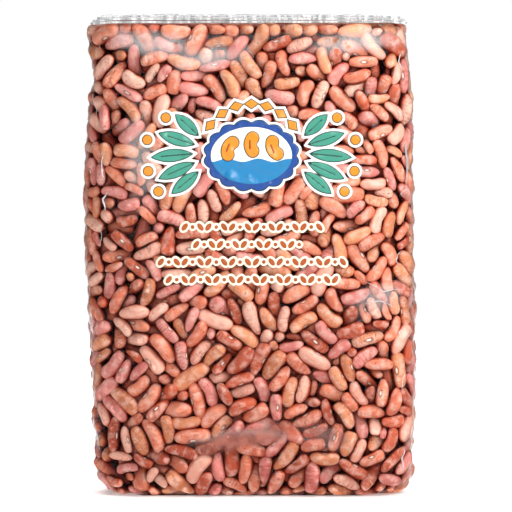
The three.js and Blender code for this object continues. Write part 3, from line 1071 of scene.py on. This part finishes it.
def sheetMesh(middle, half, haze, out):
    # points, faces and haze of a closed sheet: two grids half apart on each side of the middle one, which
    # share their border where the half thickness is nothing
    rows, columns = half.shape
    count = rows * columns
    upper = np.arange(count).reshape(rows, columns)
    inside = np.zeros((rows, columns), bool)
    inside[1:-1, 1:-1] = True
    lower = upper.copy()
    lower[inside] = count + np.arange(inside.sum())
    points = np.concatenate([
        (middle + out * half[..., None]).reshape(-1, 3), (middle - out * half[..., None])[inside]])
    faces = gridFaces(rows, columns, False)
    faces = np.concatenate([faces, lower.ravel()[faces[:, ::-1]]])
    return points, faces, np.concatenate([haze.ravel(), haze[inside]])


def stacked(name, sheets, material):
    # joins the points, faces and haze of sheets into one piece
    start, points, faces, hazes = 0, [], [], []
    for sheetPoints, sheetFaces, sheetHaze in sheets:
        points.append(sheetPoints)
        faces.append(sheetFaces + start)
        hazes.append(sheetHaze)
        start += len(sheetPoints)
    points, faces = np.concatenate(points), np.concatenate(faces)
    piece = newMesh(
        name, points, np.full(len(faces), 4), faces.ravel(),
        {"haze": np.concatenate(hazes), "blur": np.zeros(len(points))})
    piece.data.materials.append(material)
    return piece


def buildMouth():
    # folded layers with rounded corners and rolled edges; all share one slow wave and each has a finer one
    # of its own, and the fold lines of the tucked ends run in from the corners
    sheets = []
    for number, layer in enumerate(mouth["sheets"]):
        halfWidth, nearEdge = layer["halfWidth"], layer["front"]
        reach = layer["back"] - nearEdge
        along, up = np.meshgrid(edged(2 * halfWidth, 120), edged(reach, 22))
        fromX = np.minimum(along, 2 * halfWidth - along)
        fromY = np.minimum(up, reach - up)
        cut = mouth["corner"] * (1 - np.sqrt(1 - (1 - np.minimum(fromY / mouth["corner"], 1)) ** 2))
        px = (along - halfWidth) * (1 - cut / halfWidth)
        wander = relief(px, fromY * 0, mouth["near"], 200 + number)
        farWander = relief(px, fromY * 0, mouth["far"], 240 + number) + layer["turn"] * px
        py = nearEdge + up + wander * (1 - up / reach) + farWander * up / reach
        fromEdge = np.minimum(fromX, fromY)
        slow = relief(px, py, mouth["slow"], 5)
        fine = relief(px, py, mouth["fine"], 210 + number)
        tuck = np.abs(np.abs(2 * up / reach - 1) - (1 - fromX / mouth["tuck"]))
        fold = np.exp(-(tuck * 12) ** 2) * (fromX < mouth["tuck"])
        droop = mouth["droop"][0] * np.exp(-((fromX / mouth["droop"][1]) ** 2))
        pz = layer["middle"] + slow + fine - droop + mouth["foldHeight"] * fold
        creased = smooth(0.45, 0.8, relief(px * 0.4, py, mouth["creases"], 220 + number))
        rim = (mouth["edgeHaze"] - mouth["haze"]) * np.exp(-fromEdge / 1.1)
        haze = mouth["haze"] + rim + mouth["foldHaze"] * fold + mouth["creaseHaze"] * creased
        middle = np.stack([px + mouth["shift"], py, pz], -1) * mm
        half = rolled(fromEdge, layer["thick"]) * mm
        sheets.append(sheetMesh(middle, half, np.clip(haze, 0, 1), np.array([0, 0, 1.0])))
    return stacked("foldedMouth", sheets, clearFilm(
        "foldedFilm", filmLooks["foldedShine"], filmLooks["foldedEdge"]))


def smoothedSunk(passes=6):
    # the film's depth without the beans' bumps: what a stiff seam lying over them follows
    level = filmSunk.copy()
    for _ in range(passes):
        level = (np.roll(level, 1, 1) + np.roll(level, -1, 1) + level) / 3
        level[1:-1] = (level[:-2] + level[2:] + level[1:-1]) / 3
    return level


def buildSeam():
    # the lengthwise seam: a sealed strip of two sheets that lies flat along the middle of the back, with
    # fine ribs across its sealed middle
    level = smoothedSunk()
    width, length = 2 * seam["halfWidth"], seam["to"] - seam["from"]
    sheets = []
    for number, (stand, thick) in enumerate(seam["sheets"]):
        u, v = np.meshgrid(edged(width, 9), edged(length, 420))
        fromEdge = np.minimum(np.minimum(u, width - u), np.minimum(v, length - v))
        u, v = u - seam["halfWidth"], v + seam["from"]
        sway = relief(v, v * 0, seam["sway"], 40) + 0.5 * number
        column = seam["column"] - (u + sway) * mm / girth
        climb = wallStart + v * mm - bag["footRound"]
        bare = wallPlace(column, climb)
        _, out = wallDepth(bare)
        lift = stand + relief(u, v, seam["lift"], 60 + number)
        middle = bare + out * (lift * mm - onNet(level, column, climb) * seam["follows"])[..., None]
        ribbed = 0.5 + 0.5 * np.sin(2 * math.pi * v / seam["ribs"])
        sealed = 1 - smooth(0.55, 0.75, np.abs(u) / seam["halfWidth"])
        rim = (seam["edgeHaze"] - seam["haze"]) * np.exp(-fromEdge / 0.7)
        haze = seam["haze"] + rim + seam["ribHaze"] * ribbed * sealed
        haze = haze * (0.75 + relief(u * 0.5, v, seam["breaks"], 66))
        half = rolled(fromEdge, thick) * mm
        sheets.append(sheetMesh(middle, half, np.clip(haze, 0, 1), out))
    return stacked("backSeam", sheets, clearFilm("sealedSeam", filmLooks["seamShine"]))


def onFilm(x, z, lift, face=front):
    # the point of the film at a place across and up on the front or the back, lifted off it
    halfWidth, halfDepth = halfSizes(x, z)
    n = bag["squareness"]
    y = face * halfDepth * (1 - np.minimum(np.abs(x / halfWidth), 1) ** n) ** (1 / n)
    column, climb = filmPlace(np.stack([x, y, z], -1))
    _, out = wallDepth(wallPlace(column, climb))
    points = np.stack([onNet(filmPoints[..., axis], column, climb) for axis in range(3)], -1)
    return points + out * np.expand_dims(lift, -1), out


# Pleats: narrow folds of spare film that stand off the corners, most of them set by rule
pleats = {
    "own": [  # the face, the line as for a crease, and the half width
        (front, [(84.2, 194), (85.6, 184), (84.6, 170)], 1.1),
        (front, [(83.4, 213), (84, 203)], 0.45),
        (front, [(81.6, 238), (82, 228)], 0.4),
        (front, [(-79.8, 187), (-80.6, 180), (-79.6, 174)], 0.35),
        (front, [(-78, 167), (-80, 163), (-79, 157)], 0.4),
        (front, [(63, 118), (72, 113), (80, 114)], 0.3),
        (front, [(62, 106), (70, 108), (79, 104)], 0.3)],
    "heights": np.linspace(18, 240, 7),  # about where each corner has one
    "unevenly": 8,
    "highest": 252,
    "across": (80, 84),
    "length": (5, 20),
    "width": (0.12, 0.32),
    "sway": 1.6,
    "bow": (0.5, [(4, 9), (6, 14)]),
    "breaks": (0.5, [(3, 8), (5, 12)]),
    "stand": (0.12, 0.55),  # how far its lying and its free edge stand off the film
    "thick": 0.16,
    "haze": (0.3, 0.4),  # in its middle, and what its edges have besides
}


def cornerPleats():
    # pleats at random heights along the four upright corners
    found = []
    for face in (front, back):
        for way in (-1, 1):
            for height in pleats["heights"]:
                low = height + draws.uniform(-pleats["unevenly"], pleats["unevenly"])
                length = draws.uniform(*pleats["length"])
                x = way * draws.uniform(*pleats["across"])
                sway = draws.uniform(-pleats["sway"], pleats["sway"], 2)
                top = min(low + length, pleats["highest"])
                line = [(x, low), (x + sway[0], low + length / 2), (x + sway[1], top)]
                found.append((face, line, draws.uniform(*pleats["width"])))
    return found


def buildPleats():
    # each pleat is a sheet whose half width swells along its line as sin(pi t)^0.6, one edge on the film
    # and the other standing off it
    sheets = []
    hazy, hazier = pleats["haze"]
    for number, (face, line, width) in enumerate(pleats["own"] + cornerPleats()):
        knots = np.array(line, float)
        knotShare = np.linspace(0, 1, len(knots))
        t, across = np.meshgrid(np.linspace(0, 1, 40), np.linspace(-1, 1, 7), indexing="ij")
        bow = relief(t * 12, t * 0, pleats["bow"], 700 + number)
        x = np.interp(t, knotShare, knots[:, 0])
        z = np.interp(t, knotShare, knots[:, 1])
        way = knots[-1] - knots[0]
        way = way / np.linalg.norm(way)
        half = width * np.sin(math.pi * np.clip(t, 0.002, 0.998)) ** 0.6
        x = x + (across * half + bow) * way[1]
        z = z - (across * half + bow) * way[0]
        stand = np.interp(across, [-1, 1], pleats["stand"]) * mm
        points, out = onFilm(x * mm, z * mm, stand, face)
        broken = 0.5 + relief(t * 20, across, pleats["breaks"], 800 + number)
        haze = hazy + hazier * np.abs(across) * broken
        thick = rolled((1 - np.abs(across)) * 0.2, pleats["thick"]) * mm * (np.sin(math.pi * t) > 0.01)
        sheets.append(sheetMesh(points, thick, np.clip(haze, 0, 1), out))
    return stacked("filmPleats", sheets, clearFilm("pleatedFilm"))


def buildFootFlaps():
    # the bottom of the film tube folded like a parcel: two long flaps that meet along the middle
    sheets = []
    for way, level in zip((-1, 1), foot["middles"]):
        along, share = np.meshgrid(np.linspace(-1, 1, 60), edged(foot["halfWidth"], 10) / foot["halfWidth"])
        px = along * (foot["halfLength"] - foot["narrowing"] * (1 - share))
        py = way * (foot["halfWidth"] - (foot["halfWidth"] + foot["overlap"]) * share)
        fromEdge = np.minimum(
            (1 - np.abs(along)) * foot["halfLength"], np.minimum(share, 1 - share) * foot["halfWidth"])
        pz = level + relief(px, py, foot["relief"], 80 + way)
        haze = np.full(px.shape, foot["haze"])
        upwards = np.array([0, 0, float(-way)])
        thick = rolled(fromEdge, foot["thick"]) * mm
        sheets.append(sheetMesh(np.stack([px, py, pz], -1) * mm, thick, haze, upwards))
    return stacked("footFlaps", sheets, clearFilm("footFilm"))


# Print on the front: an emblem of leaves, beans and a scalloped plaque, and four rows of small grains.
# Places are [across, height] in millimetres on the front, and turns are in degrees
inks = {
    "white": {"colour": colour(250, 250, 246), "slot": "print_white"},
    "cream": {"colour": colour(255, 244, 214), "slot": "print_white"},
    "dark": {"colour": colour(14, 52, 44), "slot": "print_teal"},
    "teal": {"colour": colour(58, 146, 124), "slot": "print_teal"},
    "deepBlue": {"colour": colour(5, 64, 140), "slot": "print_blue"},
    "lightBlue": {"colour": colour(12, 122, 176), "slot": "print_blue"},
    "orange": {"colour": colour(228, 138, 18), "slot": "print_orange"},
    "brown": {"colour": colour(168, 76, 6), "slot": "print_orange"},
}
emblem = {
    "plaque": {"middle": (0.5, 187), "reach": (25, 18.5), "scallops": 16, "scallop": 1.7, "border": 3.0},
    "wave": {"level": 184.5, "height": 1.8, "step": 17},
    "beans": [((-11.5, 191), 68), ((0.6, 193), 90), ((12.7, 191), 112)],
    "beanSize": (14.2, 6.6, 1.3),  # length, width and how far it bends
    "mark": (0.15, 0.12, 0.45),  # half length in bean lengths, place in bean widths, half width
    "leaves": [
        ((29, 178), (43, 166.5)), ((31, 183), (50, 174.5)), ((32, 188), (54, 186)), ((31, 193), (50, 199)),
        ((29, 198), (41, 209))],
    "leafWidth": 6.4,
    "vein": (0.28, 0.55),  # half width, and how far it runs to the tip
    "centre": 0.5,
    "berries": [(56, 178.5), (56.5, 195.5), (46.5, 207.5), (50.5, 167.5)],
    "berry": 2.5,
    "lozenges": 7,
    "lozengeArc": {"middle": (0.5, 180), "reach": (30, 35), "from": 42, "to": 138},
    "lozenge": (3.7, 2.5),
    "outline": 0.45,
    "halo": 1.8,
}
rows = {
    "lines": [(0.8, 148.2, 80), (-1.5, 138.7, 64), (0.8, 129.2, 104), (0.8, 119.6, 97)],
    "step": 4.3,
    "grain": (2.35, 1.35),
    "dot": 1.05,
    "lean": 52,
    "halo": 1.15,
}
sheet = {
    "step": 0.5, "lift": 0.17, "rise": 0.07, "thick": 0.05, "roughness": 0.38,
    "leastSlope": 0.3, "furthest": 0.8,  # how steep a distance has to be, and how many steps a corner moves
}


def toOval(x, z, middle, reach, turn=0):
    # about the distance to an oval, negative inside: k (k - 1) / |grad| with k = |(u/a, v/b)|
    u, v = turned(x, z, middle, turn)
    k = np.hypot(u / reach[0], v / reach[1])
    return k * (k - 1) / np.maximum(np.hypot(u / reach[0] ** 2, v / reach[1] ** 2), nearMiddle)


def toLeaf(x, z, base, tip, width):
    # distance to the shared part of two discs that meet at the base and the tip
    half = math.dist(base, tip) / 2
    middle = ((base[0] + tip[0]) / 2, (base[1] + tip[1]) / 2)
    u, v = turned(x, z, middle, math.degrees(math.atan2(tip[1] - base[1], tip[0] - base[0])))
    radius = (half ** 2 + (width / 2) ** 2) / width
    return np.hypot(u, np.abs(v) + radius - width / 2) - radius, u, v, half


def toBean(x, z, middle, turn):
    # distance to a thick arc with round ends, of radius half^2 / (2 bend)
    length, width, bend = emblem["beanSize"]
    u, v = turned(x, z, middle, turn)
    half = (length - width) / 2
    radius = half ** 2 / (2 * bend)
    v = v + radius - bend / 2
    angle = np.clip(np.arctan2(u, v), -half / radius, half / radius)
    return np.hypot(u - radius * np.sin(angle), v - radius * np.cos(angle)) - width / 2


def toPlaque(x, z):
    # an oval, wider by a share of |sin(n angle / 2)| - 1/2 for its n scallops
    plaque = emblem["plaque"]
    (middleX, middleZ), (reachX, reachZ) = plaque["middle"], plaque["reach"]
    angle = np.arctan2((z - middleZ) / reachZ, (x - middleX) / reachX)
    scallop = plaque["scallop"] * (np.abs(np.sin(plaque["scallops"] / 2 * angle)) - 0.5)
    return toOval(x, z, plaque["middle"], plaque["reach"]) - scallop


def toField(x, z):
    # the oval inside the plaque's border
    plaque = emblem["plaque"]
    return toOval(x, z, plaque["middle"], [reach - plaque["border"] for reach in plaque["reach"]])


def toWater(x, z):
    # the lower part of the field, up to a wavy line
    wave = emblem["wave"]
    level = wave["level"] + wave["height"] / 2 * np.sin(2 * math.pi * x / wave["step"])
    return np.maximum(toField(x, z), z - level)


def toBeans(x, z):
    # distance to the nearest bean of the emblem
    return np.minimum.reduce([toBean(x, z, middle, turn) for middle, turn in emblem["beans"]])


def toBeanMarks(x, z):
    # a short stroke along each bean
    length, width, _ = emblem["beanSize"]
    reach, aside, half = emblem["mark"]
    strokes = []
    for middle, turn in emblem["beans"]:
        u, v = turned(x, z, middle, turn)
        strokes.append(np.hypot(np.maximum(np.abs(u) - reach * length, 0), v - aside * width) - half)
    return np.minimum.reduce(strokes)


def toLeaves(x, z, veined):
    # five leaves on each side, with a bare line down the middle of each
    leaves = []
    vein, veinReach = emblem["vein"]
    for base, tip in emblem["leaves"]:
        for way in (-1, 1):
            ends = [(way * across + emblem["centre"], height) for across, height in (base, tip)]
            distance, u, v, half = toLeaf(x, z, *ends, emblem["leafWidth"])
            if veined:
                distance = np.maximum(distance, vein - np.hypot(v, np.maximum(u - veinReach * half, 0)))
            leaves.append(distance)
    return np.minimum.reduce(leaves)


def toBerries(x, z):
    # the same discs on both sides
    size = (emblem["berry"], emblem["berry"])
    return np.minimum.reduce([
        toOval(x, z, (way * across + emblem["centre"], height), size)
        for across, height in emblem["berries"] for way in (-1, 1)])


def toLozenges(x, z):
    # lozenges on an arc over the plaque: (|u|/a + |v|/b - 1) / |(1/a, 1/b)|
    arc = emblem["lozengeArc"]
    a, b = emblem["lozenge"]
    found = []
    for turn in np.linspace(arc["from"], arc["to"], emblem["lozenges"]):
        spot = (arc["middle"][0] + arc["reach"][0] * math.cos(math.radians(turn)),
                arc["middle"][1] + arc["reach"][1] * math.sin(math.radians(turn)))
        u, v = turned(x, z, spot, turn - 90)
        found.append((np.abs(u) / a + np.abs(v) / b - 1) / math.hypot(1 / a, 1 / b))
    return np.minimum.reduce(found)


def toSmallShapes(x, z):
    return np.minimum(toBerries(x, z), toLozenges(x, z))


def toEmblem(x, z):
    # distance to the whole emblem, for its outline and its halo
    return np.minimum.reduce([toPlaque(x, z), toLeaves(x, z, False), toSmallShapes(x, z)])


def toRows(x, z):
    # each row has leaning grains and dots by turns
    found = []
    for middle, height, length in rows["lines"]:
        count = int(length / rows["step"])
        for number in range(count):
            spot = (middle + (number - (count - 1) / 2) * rows["step"], height)
            if number % 3 == 1:
                found.append(toOval(x, z, spot, (rows["dot"], rows["dot"])))
            else:
                lean = rows["lean"] if number % 3 == 0 else -rows["lean"]
                found.append(toOval(x, z, spot, rows["grain"], lean))
    return np.minimum.reduce(found)


def printed(name, toShape, box, level, ink):
    # a thin sheet of ink on the film: the cells of a fine net that lie inside the shape, with the corners
    # at its edge moved onto the outline by their distance
    x, z = np.meshgrid(np.arange(box[0], box[1], sheet["step"]), np.arange(box[2], box[3], sheet["step"]))
    distance = toShape(x, z)
    slopeZ, slopeX = np.gradient(distance, sheet["step"])
    middle = (distance[1:, 1:] + distance[:-1, 1:] + distance[1:, :-1] + distance[:-1, :-1]) / 4
    chosen = middle < 0
    around = np.zeros(x.shape)
    for low in (0, 1):
        for left in (0, 1):
            around[low:low + chosen.shape[0], left:left + chosen.shape[1]] += chosen
    edge = (around > 0) & (around < 4)
    steep = np.maximum(slopeX ** 2 + slopeZ ** 2, sheet["leastSlope"])
    furthest = sheet["furthest"] * sheet["step"]
    move = np.clip(distance * edge, -furthest, furthest) / steep
    x, z = (x - move * slopeX) * mm, (z - move * slopeZ) * mm
    upper, out = onFilm(x, z, (sheet["lift"] + level * sheet["rise"]) * mm)
    lower = upper - out * sheet["thick"] * mm
    faces = gridFaces(*x.shape, False)[chosen.ravel()]
    sides = np.concatenate([faces[:, [k, (k + 1) % 4]] for k in range(4)])
    both = np.sort(sides, 1)
    _, first, times = np.unique(both, axis=0, return_index=True, return_counts=True)
    rim = sides[first[times == 1]]
    count = x.size
    rimFaces = np.stack([rim[:, 1], rim[:, 0], rim[:, 0] + count, rim[:, 1] + count], 1)
    faces = np.concatenate([faces, faces[:, ::-1] + count, rimFaces])
    used, corners = np.unique(faces, return_inverse=True)
    points = np.concatenate([upper.reshape(-1, 3), lower.reshape(-1, 3)])[used]
    piece = newMesh(name, points, np.full(len(faces), 4), corners.ravel())
    f = Finish(name + "Ink")
    piece.data.materials.append(f.finished(f.add("BsdfPrincipled", None, {
        "Base Color": inks[ink]["colour"], "Roughness": sheet["roughness"]})))
    return piece


def buildPrint():
    # each shape with the box it lies in, how many layers of ink are under it, and its ink
    emblemBox, plaqueBox, rowsBox = (-61, 62, 160, 222), (-28, 29, 165, 208), (-56, 57, 114, 154)
    outline, halo = emblem["outline"], emblem["halo"]
    return [
        printed("printHalo", lambda x, z: toEmblem(x, z) - halo, emblemBox, 0, "white"),
        printed("printOutline", lambda x, z: toEmblem(x, z) - outline, emblemBox, 1, "dark"),
        printed("printLeaves", lambda x, z: toLeaves(x, z, True), emblemBox, 2, "teal"),
        printed("printPlaque", toPlaque, plaqueBox, 2, "deepBlue"),
        printed("printField", toField, plaqueBox, 3, "white"),
        printed("printWater", toWater, plaqueBox, 4, "lightBlue"),
        printed("printBeanOutlines", lambda x, z: toBeans(x, z) - outline, plaqueBox, 5, "dark"),
        printed("printBeans", toBeans, plaqueBox, 6, "orange"),
        printed("printBeanMarks", toBeanMarks, plaqueBox, 7, "brown"),
        printed("printBerries", toSmallShapes, emblemBox, 2, "orange"),
        printed("printRowHalo", lambda x, z: toRows(x, z) - rows["halo"], rowsBox, 0, "cream"),
        printed("printRows", toRows, rowsBox, 1, "brown"),
    ]


print("building the film")
filmPiece = buildFilm()
foldPieces = [buildMouth(), buildSeam(), buildPleats(), buildFootFlaps()]
print("printing the front")
inkPieces = buildPrint()

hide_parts("bean_bag")
for piece in [*beanPieces, corePiece, filmPiece, *foldPieces, *inkPieces]:
    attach(piece, "root")


# Camera, floor and light
view = {
    "pixel": 0.543 * mm,  # size of one pixel of the photo at the front of the bag
    "pixels": 512,
    "middle": (3.0 * mm, -34 * mm, 132.5 * mm),  # the point of the front in the middle of the picture
    "elevation": 3.5,
    "distance": 2.4,
    "sensor": 36.0,
}
studio = {
    "floor": 1.1,  # half the length of its sides
    "floorColour": (0.93, 0.93, 0.93, 1),
    "floorGlow": 0.3,
    # the white room is dim as a light, brighter in a mirror image and white as a background
    "room": ((None, 0.09), ("Is Glossy Ray", 0.5), ("Is Camera Ray", 1.0)),
}
# Each light's place, the point that it faces, its two lengths and its power
lights = {
    "key": ((0.68, -0.98, 0.92), (0, 0, 0.13), (0.6, 0.5), 16.6),
    "fill": ((-0.6, -1.6, 0.4), (0, 0, 0.13), (0.8, 0.8), 6.4),
    "back": ((-0.2, 1.4, 1.0), (0, 0, 0.13), (1.0, 0.8), 19),
    "overhead": ((0, -0.1, 1.9), (0, 0, 0), (2.2, 2.2), 22),
}


def addCamera():
    eye = bpy.data.objects.new("camera", bpy.data.cameras.new("camera"))
    bpy.context.scene.collection.objects.link(eye)
    eye.data.sensor_width = view["sensor"]
    eye.data.lens = eye.data.sensor_width * view["distance"] / (view["pixel"] * view["pixels"])
    tilt = math.radians(view["elevation"])
    x, y, z = view["middle"]
    eye.location = (x, y - view["distance"] * math.cos(tilt), z + view["distance"] * math.sin(tilt))
    eye.rotation_euler = (math.pi / 2 - tilt, 0, 0)
    bpy.context.scene.camera = eye


def addLight(name, place, aim, size, power):
    lamp = bpy.data.lights.new(name, "AREA")
    lamp.shape = "RECTANGLE"
    lamp.size, lamp.size_y = size
    lamp.energy = power
    thing = bpy.data.objects.new(name, lamp)
    thing.location = place
    away = np.array(place) - np.array(aim)
    flat = math.hypot(away[0], away[1])
    thing.rotation_euler = (math.atan2(flat, away[2]), 0, math.atan2(away[0], -away[1]))
    bpy.context.scene.collection.objects.link(thing)


def addStudio():
    # a pale floor, a white room and four lights
    corners = np.array([(-1, -1, 0), (1, -1, 0), (1, 1, 0), (-1, 1, 0)]) * studio["floor"]
    floor = newMesh("floor", corners, np.array([4]), np.arange(4))
    f = Finish("paleFloor")
    floor.data.materials.append(f.finished(f.add("BsdfPrincipled", None, {
        "Base Color": studio["floorColour"], "Roughness": 0.9,
        "Emission Color": (1, 1, 1, 1), "Emission Strength": studio["floorGlow"]})))
    world = bpy.data.worlds.new("studio")
    bpy.context.scene.world = world
    world.use_nodes = True
    nodes, links = world.node_tree.nodes, world.node_tree.links
    nodes.clear()
    output = nodes.new("ShaderNodeOutputWorld")
    sight = nodes.new("ShaderNodeLightPath")
    shown = None
    for rays, strength in studio["room"]:
        walls = nodes.new("ShaderNodeBackground")
        walls.inputs["Color"].default_value = (1, 1, 1, 1)
        walls.inputs["Strength"].default_value = strength
        if rays:
            either = nodes.new("ShaderNodeMixShader")
            links.new(sight.outputs[rays], either.inputs[0])
            links.new(shown, either.inputs[1])
            links.new(walls.outputs[0], either.inputs[2])
        shown = either.outputs[0] if rays else walls.outputs[0]
    links.new(shown, output.inputs[0])
    for name, light in lights.items():
        addLight(name, *light)


addCamera()
addStudio()
bpy.context.scene.view_settings.view_transform = "Standard"
bpy.context.scene.cycles.transparent_max_bounces = 16
